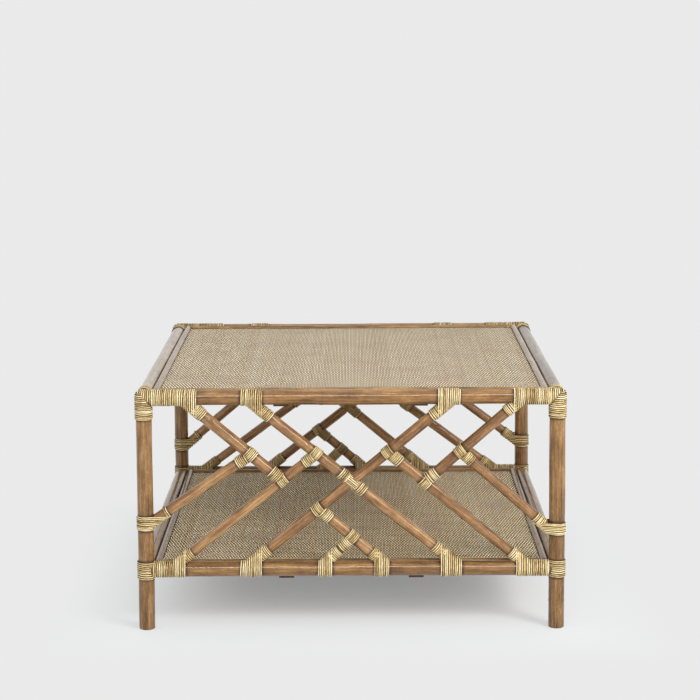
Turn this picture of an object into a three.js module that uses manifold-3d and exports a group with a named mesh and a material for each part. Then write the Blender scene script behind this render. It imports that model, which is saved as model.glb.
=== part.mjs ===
// A square rattan coffee table with a woven top, a woven shelf and a lattice of poles front and back.
// Millimetres, +Z up. The origin is on the floor, under the middle of the table. The front faces -Y.

import * as THREE from 'three';
import { mergeVertices } from 'three/addons/utils/BufferGeometryUtils.js';
import Module from 'manifold-3d';

const wasm = await Module();
wasm.setup();

// Driving sizes of the frame, over the bare poles
const tableWidth = 800;
const tableDepth = 800;
const tableHeight = 455;
const shelfRailHeight = 114;

// Poles
const legRadius = 15;
const legFootChamfer = 1.5;
const legTopRounding = 5;
const legTopDrop = 1;
const railRadius = 14;
const stoutPoleRadius = 11;
const middlePoleRadius = 10;
const slimPoleRadius = 9.3;

// The gap between two pieces that touch
const clearance = 0.3;

// Bands of wound peel that are part of the pole they grip. A band on a pole reaches these lengths to each side
// of the joint, and a pole's own end is bound this far beyond what it meets.
const bandThickness = 2;
const bandBevel = 0.8;
const wideRailBand = 20;
const narrowRailBand = 13;
const cornerRailBand = 45;
const legBand = 16;
const latticeBand = 10;
const crossingBand = 32;
const endBand = 17;

// Corner windings: one strand of flat peel each
const strandWidth = 3.6;
const strandThickness = 1.6;
const strandPitch = 4.3;
const upperLegTurns = 5;
const upperRailTurns = 5;
const lowerLegTurns = 3;
const lowerRailTurns = 4;
const windingLead = 2.2;

// Top and shelf
const boardThickness = 9;
const matThickness = 1.5;
const matRimPress = 0.4;
const topMatDrop = 5.5;
const shelfMatDrop = 7;
const beadWidth = 13;
const beadHeight = 5.5;
const battenWidth = 28;
const battenHeight = 16;
const battenReach = 7;
const topBattenOffset = 130;
const shelfBattenOffset = 122;

// How finely round things are faceted
const poleSides = 12;
const cutterSides = 16;
const beadSegments = 6;
const roundingSteps = 3;
const windingSteps = 12;

// How far a cutting rod runs past what it cuts
const overrun = 20;

// Places that follow from the driving sizes
const legX = tableWidth / 2 - legRadius;
const legY = tableDepth / 2 - legRadius;
const legLength = tableHeight - legTopDrop;
const topRailZ = tableHeight - railRadius;
const shelfRailZ = shelfRailHeight;
const firstRailTurn = legRadius + windingLead + strandWidth / 2;
const firstLegTurn = railRadius + 2 * clearance + strandWidth;
const windingReach = (firstTurn, turns) => firstTurn + turns * strandPitch + strandWidth / 2 + clearance;
const boardHalfWidth = legX - railRadius - clearance;
const boardHalfDepth = legY - windingRadius(railRadius) - strandThickness / 2 - clearance;

// Materials, by what the piece is made of
const finishes = {
  pole: { color: 0x9a7249, roughness: 0.5, metalness: 0 },
  latticePole: { color: 0xa27b50, roughness: 0.5, metalness: 0 },
  binding: { color: 0xc0a56c, roughness: 0.6, metalness: 0 },
  topMat: { color: 0xb8a382, roughness: 0.8, metalness: 0 },
  shelfMat: { color: 0xa48c66, roughness: 0.8, metalness: 0 },
  board: { color: 0xb08d5f, roughness: 0.8, metalness: 0 },
  batten: { color: 0x4a2f1e, roughness: 0.8, metalness: 0 },
  bead: { color: 0x947050, roughness: 0.5, metalness: 0 },
};

function named(name, geometry, finish) {
  const mesh = new THREE.Mesh(geometry, new THREE.MeshStandardMaterial(finishes[finish]));
  mesh.name = name;
  return mesh;
}

// Closed geometry: shared vertices merged, collapsed triangles dropped, faces pointing out
function closed(geometry) {
  const bare = geometry.clone();
  bare.deleteAttribute('normal');
  bare.deleteAttribute('uv');
  const merged = mergeVertices(bare);
  const index = merged.index.array;
  const kept = [];
  for (let t = 0; t < index.length; t += 3) {
    const [a, b, c] = [index[t], index[t + 1], index[t + 2]];
    if (a !== b && b !== c && c !== a) {
      kept.push(a, b, c);
    }
  }
  merged.setIndex(kept);
  if (signedVolume(merged) < 0) {
    turnFacesOver(merged);
  }
  return merged;
}

function signedVolume(geometry) {
  const position = geometry.attributes.position;
  const index = geometry.index.array;
  const corners = [new THREE.Vector3(), new THREE.Vector3(), new THREE.Vector3()];
  let sum = 0;
  for (let t = 0; t < index.length; t += 3) {
    corners.forEach((corner, k) => corner.fromBufferAttribute(position, index[t + k]));
    sum += corners[0].dot(corners[1].cross(corners[2])) / 6;
  }
  return sum;
}

function turnFacesOver(geometry) {
  const index = Array.from(geometry.index.array);
  for (let t = 0; t < index.length; t += 3) {
    [index[t + 1], index[t + 2]] = [index[t + 2], index[t + 1]];
  }
  geometry.setIndex(index);
}

function mirrored(geometry, signX, signY) {
  const copy = geometry.clone();
  copy.scale(signX, signY, 1);
  if (signX * signY < 0) {
    turnFacesOver(copy);
  }
  copy.computeVertexNormals();
  return copy;
}

// Booleans
function solidOf(geometry) {
  const clean = closed(geometry);
  return new wasm.Manifold(new wasm.Mesh({
    numProp: 3,
    vertProperties: new Float32Array(clean.attributes.position.array),
    triVerts: new Uint32Array(clean.index.array),
  }));
}

function geometryOf(solid) {
  const mesh = solid.getMesh();
  const geometry = new THREE.BufferGeometry();
  geometry.setAttribute('position', new THREE.BufferAttribute(mesh.vertProperties, 3));
  geometry.setIndex(new THREE.BufferAttribute(mesh.triVerts, 1));
  geometry.computeVertexNormals();
  return geometry;
}

function cutBy(geometry, cutters) {
  let solid = solidOf(geometry);
  for (const cutter of cutters) {
    solid = solid.subtract(solidOf(cutter));
  }
  return geometryOf(solid);
}

function joined(geometries) {
  const [first, ...others] = geometries.map(solidOf);
  return geometryOf(others.reduce((whole, other) => whole.add(other), first));
}

// A rod round the line from start to end that clears a pole of the given radius, for cutting saddles
function cuttingRod(start, end, poleRadius) {
  const direction = end.clone().sub(start);
  const length = direction.length() + 2 * overrun;
  const radius = (poleRadius + clearance) / Math.cos(Math.PI / cutterSides);
  const rod = new THREE.CylinderGeometry(radius, radius, length, cutterSides);
  const turn = new THREE.Quaternion().setFromUnitVectors(new THREE.Vector3(0, 1, 0), direction.normalize());
  rod.applyQuaternion(turn);
  const middle = start.clone().add(end).multiplyScalar(0.5);
  rod.translate(middle.x, middle.y, middle.z);
  return rod;
}

// Bands in order along a pole, kept to the stretch that is free for them, with overlapping ones joined
function tidyBands(bands, low, high) {
  const kept = [];
  for (const band of [...bands].sort((one, other) => one.from - other.from)) {
    const from = Math.max(band.from, low);
    const to = Math.min(band.to, high);
    const last = kept[kept.length - 1];
    if (last && from <= last.to + 2 * bandBevel) {
      last.to = Math.max(last.to, to);
    } else {
      kept.push({ from, to });
    }
  }
  return kept;
}

// A round pole along its own +Y. Bands are swellings between two distances from its start. One that reaches an
// end of the pole goes on over the end.
function poleGeometry(radius, length, bands, footChamfer = 0, topRounding = 0) {
  const bound = radius + bandThickness;
  const points = [[radius - footChamfer, 0], [radius, footChamfer]];
  for (const { from, to } of bands) {
    if (from <= 0) {
      points.splice(0, points.length, [bound, 0]);
    } else {
      points.push([radius, from], [bound, from + bandBevel]);
    }
    if (to < length) {
      points.push([bound, to - bandBevel], [radius, to]);
    } else {
      points.push([bound, length]);
    }
  }
  const covered = bands.some(({ to }) => to >= length);
  for (let step = 0; step <= roundingSteps && !covered; step += 1) {
    const angle = (Math.PI / 2) * (step / roundingSteps);
    const out = radius - topRounding * (1 - Math.cos(angle));
    points.push([out, length - topRounding * (1 - Math.sin(angle))]);
  }
  const outline = [[0, 0], ...points, [0, length]];
  return new THREE.LatheGeometry(outline.map(([out, along]) => new THREE.Vector2(out, along)), poleSides);
}

// Places a mesh that is modelled along +Y so that it runs from start to end, cut by rods given in the same frame
function poleMesh(name, finish, start, end, geometry, cutters) {
  const direction = end.clone().sub(start).normalize();
  const mesh = named(name, geometry, finish);
  mesh.position.copy(start);
  mesh.quaternion.setFromUnitVectors(new THREE.Vector3(0, 1, 0), direction);
  mesh.updateMatrix();
  const back = mesh.matrix.clone().invert();
  mesh.geometry = cutBy(geometry, cutters.map((cutter) => cutter.clone().applyMatrix4(back)));
  return mesh;
}

// The lattice's lines, in the plane y = 0 of a panel. Each line crosses the axes of the top rail and the shelf
// rail at these shares of the half span between the legs. The back panel is bound up a little differently.
const frontLines = {
  upper_left_brace: { topShare: -0.819, shelfShare: 0.185 },
  left_leg_brace: { topShare: -0.079, shelfShare: -1.31 },
  lower_left_brace: { topShare: 0.179, shelfShare: -0.88 },
  main_diagonal: { topShare: -0.51, shelfShare: 0.538 },
  cross_diagonal: { topShare: 0.507, shelfShare: -0.52 },
  foot_brace: { topShare: -0.811, shelfShare: 0.193 },
  short_foot_brace: { topShare: 0.704, shelfShare: -0.155 },
  lower_right_brace: { topShare: -0.145, shelfShare: 0.87 },
  upper_right_brace: { topShare: 0.838, shelfShare: -0.131 },
  right_leg_brace: { topShare: 0.23, shelfShare: 1.178 },
};
const backLines = {
  ...frontLines,
  left_leg_brace: { topShare: -0.17, shelfShare: -1.17 },
  lower_left_brace: { topShare: 0.26, shelfShare: -0.893 },
  main_diagonal: { topShare: -0.566, shelfShare: 0.455 },
  cross_diagonal: { topShare: 0.57, shelfShare: -0.523 },
  foot_brace: { topShare: -0.895, shelfShare: 0.105 },
  short_foot_brace: { topShare: 0.66, shelfShare: -0.2 },
  lower_right_brace: { topShare: -0.283, shelfShare: 0.862 },
  right_leg_brace: { topShare: 0.087, shelfShare: 1.217 },
};

// The poles of a panel. Each lies on the line of its own name, or on the line it names, starts on one rail, leg or
// other pole and ends on another. Its bands are how far each host is bound, to its start's side and its end's side.
const latticePlan = {
  upper_left_brace: {
    radius: stoutPoleRadius,
    startsOn: 'top_rail', startBand: [cornerRailBand, narrowRailBand],
    endsOn: 'lower_left_brace', endBand: [latticeBand, latticeBand],
  },
  left_leg_brace: {
    radius: middlePoleRadius,
    startsOn: 'left_leg', startBand: [legBand, legBand],
    endsOn: 'upper_left_brace', endBand: [latticeBand, latticeBand],
  },
  lower_left_brace: {
    radius: slimPoleRadius,
    startsOn: 'shelf_rail', startBand: [cornerRailBand, narrowRailBand],
    endsOn: 'main_diagonal', endBand: [latticeBand, latticeBand],
  },
  main_diagonal: {
    radius: middlePoleRadius,
    startsOn: 'top_rail', startBand: [wideRailBand, wideRailBand],
    endsOn: 'shelf_rail', endBand: [wideRailBand, wideRailBand],
  },
  cross_diagonal_lower: {
    radius: middlePoleRadius, line: 'cross_diagonal',
    startsOn: 'shelf_rail', startBand: [wideRailBand, wideRailBand],
    endsOn: 'main_diagonal', endBand: [crossingBand, crossingBand],
  },
  cross_diagonal_upper: {
    radius: middlePoleRadius, line: 'cross_diagonal',
    startsOn: 'top_rail', startBand: [wideRailBand, wideRailBand],
    endsOn: 'main_diagonal', endBand: [crossingBand, crossingBand],
  },
  foot_brace: {
    radius: middlePoleRadius,
    startsOn: 'shelf_rail', startBand: [narrowRailBand, narrowRailBand],
    endsOn: 'cross_diagonal_lower', endBand: [latticeBand, latticeBand],
  },
  short_foot_brace: {
    radius: slimPoleRadius,
    startsOn: 'shelf_rail', startBand: [narrowRailBand, narrowRailBand],
    endsOn: 'foot_brace', endBand: [latticeBand, latticeBand],
  },
  lower_right_brace: {
    radius: middlePoleRadius,
    startsOn: 'shelf_rail', startBand: [narrowRailBand, cornerRailBand],
    endsOn: 'cross_diagonal_upper', endBand: [latticeBand, latticeBand],
  },
  upper_right_brace: {
    radius: middlePoleRadius,
    startsOn: 'top_rail', startBand: [narrowRailBand, cornerRailBand],
    endsOn: 'lower_right_brace', endBand: [latticeBand, latticeBand],
  },
  right_leg_brace: {
    radius: slimPoleRadius,
    startsOn: 'right_leg', startBand: [legBand, legBand],
    endsOn: 'upper_right_brace', endBand: [latticeBand, latticeBand],
  },
};

// A member of a panel: its axis, its radius, the bands on it and the stretch of it that is free for bands.
// The band at a joint lies round the point at this share of the way from the member's axis to its surface.
function member(start, end, radius, low, high, seatShare) {
  return { start, end, radius, bands: [], low, high, seatShare };
}

function atPlace(x, z) {
  return new THREE.Vector3(x, 0, z);
}

function railMember(z, turns) {
  const keepOut = windingReach(firstRailTurn, turns);
  return member(atPlace(-legX, z), atPlace(legX, z), railRadius, keepOut, 2 * legX - keepOut, 1);
}

function legMember(x) {
  const low = shelfRailZ + railRadius + clearance;
  const high = topRailZ - windingReach(firstLegTurn, upperLegTurns);
  return member(atPlace(x, 0), atPlace(x, legLength), legRadius, low, high, 0);
}

// Where two axes of a panel meet
function meeting(one, other) {
  const along = one.end.clone().sub(one.start);
  const across = other.end.clone().sub(other.start);
  const apart = other.start.clone().sub(one.start);
  const share = (apart.x * across.z - apart.z * across.x) / (along.x * across.z - along.z * across.x);
  return one.start.clone().addScaledVector(along, share);
}

function directionOf({ start, end }) {
  return end.clone().sub(start).normalize();
}

// Binds one end of a pole: a band on the host where the pole seats, and one round the pole's own end
function bindEnd(pole, endPoint, inward, host, [towardsStart, towardsEnd]) {
  const hostDirection = directionOf(host);
  const sine = Math.sqrt(1 - inward.dot(hostDirection) ** 2);
  const toSurface = host.radius / sine;
  const seat = endPoint.clone().addScaledVector(inward, toSurface * host.seatShare);
  const place = seat.sub(host.start).dot(hostDirection);
  host.bands.push({ from: place - towardsStart, to: place + towardsEnd });
  const reach = toSurface + endBand;
  const ownPlace = endPoint.distanceTo(pole.start);
  pole.bands.push({ from: ownPlace - reach, to: ownPlace + reach });
}

// The members of a panel whose lattice has these lines. The whole axes come first, because a pole can end on one
// that comes later in the plan.
function panelMembers(lines) {
  const members = {
    top_rail: railMember(topRailZ, upperRailTurns),
    shelf_rail: railMember(shelfRailZ, lowerRailTurns),
    left_leg: legMember(-legX),
    right_leg: legMember(legX),
  };
  const wholeAxes = { ...members };
  for (const [name, plan] of Object.entries(latticePlan)) {
    const { topShare, shelfShare } = lines[plan.line ?? name];
    wholeAxes[name] = { start: atPlace(topShare * legX, topRailZ), end: atPlace(shelfShare * legX, shelfRailZ) };
  }
  for (const [name, plan] of Object.entries(latticePlan)) {
    const start = meeting(wholeAxes[name], wholeAxes[plan.startsOn]);
    const end = meeting(wholeAxes[name], wholeAxes[plan.endsOn]);
    members[name] = member(start, end, plan.radius, 0, end.distanceTo(start), 1);
  }
  for (const [name, plan] of Object.entries(latticePlan)) {
    const pole = members[name];
    const forward = directionOf(pole);
    bindEnd(pole, pole.start, forward, members[plan.startsOn], plan.startBand);
    bindEnd(pole, pole.end, forward.clone().negate(), members[plan.endsOn], plan.endBand);
  }
  for (const one of Object.values(members)) {
    one.bands = tidyBands(one.bands, one.low, one.high);
  }
  return members;
}

const panels = {
  front: { y: -legY, members: panelMembers(frontLines) },
  back: { y: legY, members: panelMembers(backLines) },
};

// A lattice pole, with a saddle at each end for the bound pole that it meets there
function latticePole(name, members) {
  const { start, end, radius, bands } = members[name];
  const geometry = poleGeometry(radius, end.distanceTo(start), bands);
  const saddles = [latticePlan[name].startsOn, latticePlan[name].endsOn].map((hostName) => {
    const host = members[hostName];
    return cuttingRod(host.start, host.end, host.radius + bandThickness);
  });
  return poleMesh(name, 'latticePole', start, end, geometry, saddles);
}

// Rails of a panel, with saddles on the legs
const legRods = [-legX, legX].map((x) => cuttingRod(atPlace(x, 0), atPlace(x, legLength), legRadius));

function panelRail(name, members) {
  const { start, end, bands } = members[name];
  const geometry = poleGeometry(railRadius, end.distanceTo(start), bands);
  return poleMesh(name, 'pole', start, end, geometry, legRods);
}

// Corner windings: turns round the rail, then a crossing, then turns round the leg below the rail.
// Here the leg's axis is x = y = 0, the rail's axis is z = 0 and the rail runs to +X.
function windingRadius(poleRadius) {
  return (poleRadius + clearance) / Math.cos(Math.PI / windingSteps) + strandThickness / 2;
}

function onRailTurn(angle) {
  const radius = windingRadius(railRadius);
  const out = new THREE.Vector3(0, Math.sin(angle), -Math.cos(angle));
  const point = out.clone().multiplyScalar(radius);
  point.x = firstRailTurn - (angle / (2 * Math.PI)) * strandPitch;
  return { point, out };
}

function onLegTurn(angle) {
  const radius = windingRadius(legRadius);
  const out = new THREE.Vector3(Math.cos(angle), Math.sin(angle), 0);
  const point = out.clone().multiplyScalar(radius);
  point.z = -firstLegTurn - (angle / (2 * Math.PI)) * strandPitch;
  return { point, out };
}

// The strand leaves the rail and takes to the leg over a stretch of this share of a turn, half on each side
const crossingShare = 0.25;

function windingPath(railTurns, legTurns) {
  const path = [];
  const half = Math.PI * crossingShare;
  const from = -railTurns * windingSteps;
  const to = legTurns * windingSteps;
  for (let step = from; step <= to; step += 1) {
    const angle = (step / windingSteps) * 2 * Math.PI;
    const share = THREE.MathUtils.smoothstep(angle, -half, half);
    const rail = onRailTurn(angle);
    const leg = onLegTurn(angle);
    path.push({
      point: rail.point.clone().lerp(leg.point, share),
      out: rail.out.clone().lerp(leg.out, share).normalize(),
    });
  }
  return path;
}

// One unbroken flat strand along a path, with a rectangular section
function strandGeometry(path) {
  const vertices = [];
  const triangles = [];
  const corners = [[1, 1], [-1, 1], [-1, -1], [1, -1]];
  path.forEach(({ point, out }, k) => {
    const before = path[Math.max(k - 1, 0)].point;
    const after = path[Math.min(k + 1, path.length - 1)].point;
    const tangent = after.clone().sub(before).normalize();
    const side = tangent.clone().cross(out).normalize();
    const outward = side.clone().cross(tangent).normalize();
    for (const [sideSign, outSign] of corners) {
      const corner = point.clone();
      corner.addScaledVector(side, sideSign * strandWidth / 2);
      corner.addScaledVector(outward, outSign * strandThickness / 2);
      vertices.push(corner.x, corner.y, corner.z);
    }
  });
  const ring = corners.length;
  for (let k = 0; k < path.length - 1; k += 1) {
    for (let c = 0; c < ring; c += 1) {
      const near = k * ring + c;
      const next = k * ring + ((c + 1) % ring);
      triangles.push(near, next, next + ring, near, next + ring, near + ring);
    }
  }
  const last = (path.length - 1) * ring;
  triangles.push(0, 2, 1, 0, 3, 2);
  triangles.push(last, last + 1, last + 2, last, last + 2, last + 3);
  const geometry = new THREE.BufferGeometry();
  geometry.setAttribute('position', new THREE.Float32BufferAttribute(vertices, 3));
  geometry.setIndex(triangles);
  if (signedVolume(geometry) < 0) {
    turnFacesOver(geometry);
  }
  geometry.computeVertexNormals();
  return geometry;
}

// The least distance between points of the strand that are more than half a turn apart along it
function leastSelfGap(geometry) {
  const position = geometry.attributes.position;
  const ring = 4;
  const apart = (windingSteps / 2) * ring;
  const one = new THREE.Vector3();
  const other = new THREE.Vector3();
  let least = Infinity;
  for (let i = 0; i < position.count; i += 1) {
    one.fromBufferAttribute(position, i);
    for (let j = i + apart; j < position.count; j += 1) {
      least = Math.min(least, one.distanceTo(other.fromBufferAttribute(position, j)));
    }
  }
  return least;
}

const upperWinding = strandGeometry(windingPath(upperRailTurns, upperLegTurns));
const lowerWinding = strandGeometry(windingPath(lowerRailTurns, lowerLegTurns));
console.log('least gap of an upper corner winding to itself, mm:', leastSelfGap(upperWinding).toFixed(2));
console.log('least gap of a lower corner winding to itself, mm:', leastSelfGap(lowerWinding).toFixed(2));

function cornerWindings(panelSide) {
  const windings = [];
  for (const [level, railZ, winding] of [['upper', topRailZ, upperWinding], ['lower', shelfRailZ, lowerWinding]]) {
    for (const [side, sign] of [['left', -1], ['right', 1]]) {
      const mesh = named(`${level}_${side}_corner_winding`, mirrored(winding, -sign, panelSide), 'binding');
      mesh.position.set(sign * legX, 0, railZ);
      windings.push(mesh);
    }
  }
  return windings;
}

// A front or back panel: two rails, the lattice and the corner windings
function panel(prefix) {
  const { y, members } = panels[prefix];
  const group = new THREE.Group();
  group.position.set(0, y, 0);
  group.add(panelRail('top_rail', members), panelRail('shelf_rail', members));
  for (const name of Object.keys(latticePlan)) {
    group.add(latticePole(name, members));
  }
  group.add(...cornerWindings(y < 0 ? 1 : -1));
  for (const mesh of group.children) {
    mesh.name = `${prefix}_${mesh.name}`;
  }
  return group;
}

// Legs: a chamfered foot, a rounded top and the band of the brace that ends on them
function legs() {
  const group = new THREE.Group();
  for (const [depthName, { y, members }] of Object.entries(panels)) {
    for (const [side, x] of [['left', -legX], ['right', legX]]) {
      const { bands } = members[`${side}_leg`];
      const geometry = closed(poleGeometry(legRadius, legLength, bands, legFootChamfer, legTopRounding));
      geometry.computeVertexNormals();
      const leg = named(`${depthName}_${side}_leg`, geometry, 'pole');
      leg.rotation.x = Math.PI / 2;
      leg.position.set(x, y, 0);
      group.add(leg);
    }
  }
  return group;
}

// Side rails run from front to back between the legs. Their ends clear the legs and the front and back rails.
function sideRails() {
  const group = new THREE.Group();
  for (const [level, z] of [['top', topRailZ], ['shelf', shelfRailZ]]) {
    for (const [side, x] of [['left', -legX], ['right', legX]]) {
      const start = new THREE.Vector3(x, -legY, z);
      const end = new THREE.Vector3(x, legY, z);
      const cutters = [];
      for (const y of [-legY, legY]) {
        const foot = new THREE.Vector3(x, y, 0);
        const head = new THREE.Vector3(x, y, legLength);
        const railStart = new THREE.Vector3(-legX, y, z);
        const railEnd = new THREE.Vector3(legX, y, z);
        cutters.push(cuttingRod(foot, head, legRadius), cuttingRod(railStart, railEnd, railRadius));
      }
      const geometry = poleGeometry(railRadius, end.distanceTo(start), []);
      group.add(poleMesh(`${side}_${level}_rail`, 'pole', start, end, geometry, cutters));
    }
  }
  return group;
}

// A flat level: board, mat on it, half-round beads over the mat's rim, battens under it
const fieldHalfWidth = boardHalfWidth - beadWidth - clearance;
const fieldHalfDepth = boardHalfDepth - beadWidth - clearance;

function boxOnFloor(width, depth, height) {
  return new THREE.BoxGeometry(width, depth, height).translate(0, 0, height / 2);
}

function boardMesh(name, baseZ) {
  const board = named(name, boxOnFloor(2 * boardHalfWidth, 2 * boardHalfDepth, boardThickness), 'board');
  board.position.z = baseZ;
  return board;
}

// The mat's rim is pressed thinner under the beads, and its open field stands up between them
function matMesh(name, finish, baseZ) {
  const rim = boxOnFloor(2 * boardHalfWidth, 2 * boardHalfDepth, matThickness - matRimPress);
  const field = boxOnFloor(2 * fieldHalfWidth, 2 * fieldHalfDepth, matThickness);
  const mat = named(name, joined([rim, field]), finish);
  mat.position.z = baseZ;
  return mat;
}

function beadGeometry(length) {
  const section = new THREE.Shape();
  section.moveTo(-beadWidth / 2, 0);
  section.lineTo(beadWidth / 2, 0);
  section.absellipse(0, 0, beadWidth / 2, beadHeight, 0, Math.PI, false, 0);
  const bead = new THREE.ExtrudeGeometry(section, { depth: length, bevelEnabled: false, curveSegments: beadSegments });
  bead.translate(0, 0, -length / 2);
  bead.rotateX(Math.PI / 2);
  return closed(bead);
}

function beads(level, baseZ) {
  const sideLength = 2 * boardHalfDepth;
  const crossLength = 2 * fieldHalfWidth;
  const sideX = boardHalfWidth - beadWidth / 2;
  const crossY = boardHalfDepth - beadWidth / 2;
  const group = new THREE.Group();
  for (const [side, sign] of [['left', -1], ['right', 1]]) {
    const bead = named(`${level}_${side}_bead`, beadGeometry(sideLength), 'bead');
    bead.position.set(sign * sideX, 0, baseZ);
    group.add(bead);
  }
  for (const [side, sign] of [['front', -1], ['back', 1]]) {
    const bead = named(`${level}_${side}_bead`, beadGeometry(crossLength), 'bead');
    bead.rotation.z = Math.PI / 2;
    bead.position.set(0, sign * crossY, baseZ);
    group.add(bead);
  }
  for (const bead of group.children) {
    bead.geometry.computeVertexNormals();
  }
  return group;
}

function battens(level, offset, topZ, railZ) {
  const group = new THREE.Group();
  const length = 2 * (legY - battenReach);
  for (const [side, sign] of [['left', -1], ['right', 1]]) {
    const x = sign * offset;
    const blank = new THREE.BoxGeometry(battenWidth, length, battenHeight);
    blank.translate(x, 0, topZ - battenHeight / 2);
    const cutters = [-legY, legY].map((y) => cuttingRod(
      new THREE.Vector3(-legX, y, railZ), new THREE.Vector3(legX, y, railZ), railRadius,
    ));
    group.add(named(`${level}_${side}_batten`, cutBy(blank, cutters), 'batten'));
  }
  return group;
}

function flatLevel(level, railZ, matDrop, battenOffset, matFinish) {
  const group = new THREE.Group();
  const matTop = railZ + railRadius - matDrop;
  const matBase = matTop - matThickness;
  const boardBase = matBase - clearance - boardThickness;
  group.add(matMesh(`${level}_mat`, matFinish, matBase), boardMesh(`${level}_board`, boardBase));
  group.add(beads(level, matTop - matRimPress + clearance));
  group.add(battens(level, battenOffset, boardBase - clearance, railZ));
  return group;
}

const table = new THREE.Group();
table.add(legs());
table.add(panel('front'), panel('back'));
table.add(sideRails());
table.add(flatLevel('top', topRailZ, topMatDrop, topBattenOffset, 'topMat'));
table.add(flatLevel('shelf', shelfRailZ, shelfMatDrop, shelfBattenOffset, 'shelfMat'));

export default table;
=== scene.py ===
# The looks of a square rattan coffee table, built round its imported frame.
# Metres, +Z up. The origin is on the floor, under the middle of the table. The front faces -Y.

import math

import bpy
import numpy as np
from mathutils import Matrix, Vector


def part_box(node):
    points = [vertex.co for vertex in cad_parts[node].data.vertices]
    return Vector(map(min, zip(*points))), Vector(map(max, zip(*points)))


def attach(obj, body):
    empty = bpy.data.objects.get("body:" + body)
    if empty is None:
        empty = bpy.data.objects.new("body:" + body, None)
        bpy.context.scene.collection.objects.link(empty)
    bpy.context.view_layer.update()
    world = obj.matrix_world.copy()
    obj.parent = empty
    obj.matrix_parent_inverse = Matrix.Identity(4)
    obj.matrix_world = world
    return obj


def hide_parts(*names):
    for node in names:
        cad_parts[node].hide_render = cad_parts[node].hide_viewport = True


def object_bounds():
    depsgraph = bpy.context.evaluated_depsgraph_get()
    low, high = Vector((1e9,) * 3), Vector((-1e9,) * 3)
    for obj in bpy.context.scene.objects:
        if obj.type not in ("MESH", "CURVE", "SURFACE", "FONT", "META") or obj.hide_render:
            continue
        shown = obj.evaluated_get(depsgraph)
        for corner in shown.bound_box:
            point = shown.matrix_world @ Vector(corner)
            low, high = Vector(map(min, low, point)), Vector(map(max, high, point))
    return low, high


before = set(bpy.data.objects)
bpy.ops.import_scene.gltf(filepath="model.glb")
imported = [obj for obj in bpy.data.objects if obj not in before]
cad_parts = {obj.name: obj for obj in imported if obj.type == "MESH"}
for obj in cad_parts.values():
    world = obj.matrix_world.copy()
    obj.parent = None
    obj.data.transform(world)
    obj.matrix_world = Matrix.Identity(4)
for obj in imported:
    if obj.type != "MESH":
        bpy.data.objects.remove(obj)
cad_low, cad_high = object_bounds()

MM = 0.001
UP = np.array([0.0, 0.0, 1.0])
ACROSS = np.array([1.0, 0.0, 0.0])
BACK = np.array([0.0, 1.0, 0.0])

# Camera, from edges measured in the photograph
photo_pixels = 700
focal_pixels = 1930.8
sensor_width = 36
camera_place = Vector((0.0075, -3.9126, 1.1472))
camera_yaw = math.radians(-0.1156)
camera_pitch = math.radians(6.8212)
camera_roll = math.radians(-0.2796)
camera_shift = -0.15
camera_clip = (0.05, 60)

# Studio
backdrop_grey = 0.823
floor_grey = 0.60
# The floor glows a little near the table: painted light that lifts the table's shadow.
floor_glow = 0.198
floor_glow_tint = (0.88, 1.0, 1.1)
floor_rings = (*np.linspace(0.2, 3.4, 17), 5.0, 9.0)
floor_columns = 64
floor_corner = 0.15
floor_fade = (-0.2, 0.25)
fill_strength = 0.8
lamp_target = Vector((0, 0, 0.2))
lamps = {
    "key_lamp": {"place": (2.3, -2.5, 2.4), "size": (1.4, 1.1), "power": 95, "in_gloss": False},
    "low_lamp": {"place": (0, -4.6, 1.7), "size": (3.2, 2.0), "power": 69, "in_gloss": False},
    "strip_lamp": {"place": (1.1, -3.2, 2.6), "size": (5.0, 0.22), "power": 95, "in_matt": False},
}

# Sizes read from the frame
def middle_of(node):
    low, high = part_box(node)
    return (low + high) / 2


leg_x = middle_of("front_right_leg").x
leg_y = middle_of("back_right_leg").y
leg_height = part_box("front_left_leg")[1].z
top_rail_z = middle_of("left_top_rail").z
shelf_rail_z = middle_of("left_shelf_rail").z
rail_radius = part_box("left_top_rail")[1].z - top_rail_z

# Poles
leg_radius = 15 * MM
stout_radius = 11 * MM
middle_radius = 10 * MM
slim_radius = 9.3 * MM
foot_rounding = 1.8 * MM
leg_top_rounding = 8 * MM
leg_top_drop = 3 * MM
# Each leg's tone at its foot and at its top: darker at the foot, painted shade low down.
leg_tones_darker_at_foot = {"left": (0.1, 0.65), "right": (0.0, 0.6)}
pole_columns = 28
ring_spacing = 5 * MM
swelling = 0.009
swelling_length = 420 * MM
sway = 0.55 * MM
sway_length = 700 * MM
wave_parts = ((1.0, 1.0), (0.43, 0.5), (0.21, 0.25))
# How far the painted contact shade, with some glazing, reaches along a pole from a binding's edge.
binding_shade_half_width = 3.4 * MM

# Knuckles. Rings, grooves and stains lie at these half widths from a knuckle's middle.
knuckle_height = 0.35 * MM
knuckle_half_width = 2.6 * MM
knuckle_spacing = (240 * MM, 420 * MM)
first_knuckle_shares = (0.15, 0.9)
knuckle_rings = (-2.6, -1.6, -1.0, -0.5, 0.0, 0.5, 0.9, 1.2, 1.5, 2.0, 2.8)
groove_depth = 0.06 * MM
groove_place, groove_width = 1.2, 0.35
stain_place, stain_width = 1.1, 0.9

# Peel strands of the bindings
strand_pitch = 3.6 * MM
strand_width = 3.1 * MM
strand_thickness = 2.0 * MM
strand_steps = 32
strand_sides = 8
seat_share = 0.45
uneven_pitch = 0.14
uneven_lift_mm = 0.14
dive_turns = 0.2
band_length = 19 * MM
host_band_half = 10 * MM
band_lead = 3 * MM
hidden_lead = 0.8
patch_length = 21 * MM
patch_overlap = 4 * MM
patch_half_angle = math.radians(62)
patch_steps = 15
patch_dive = 0.25

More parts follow.
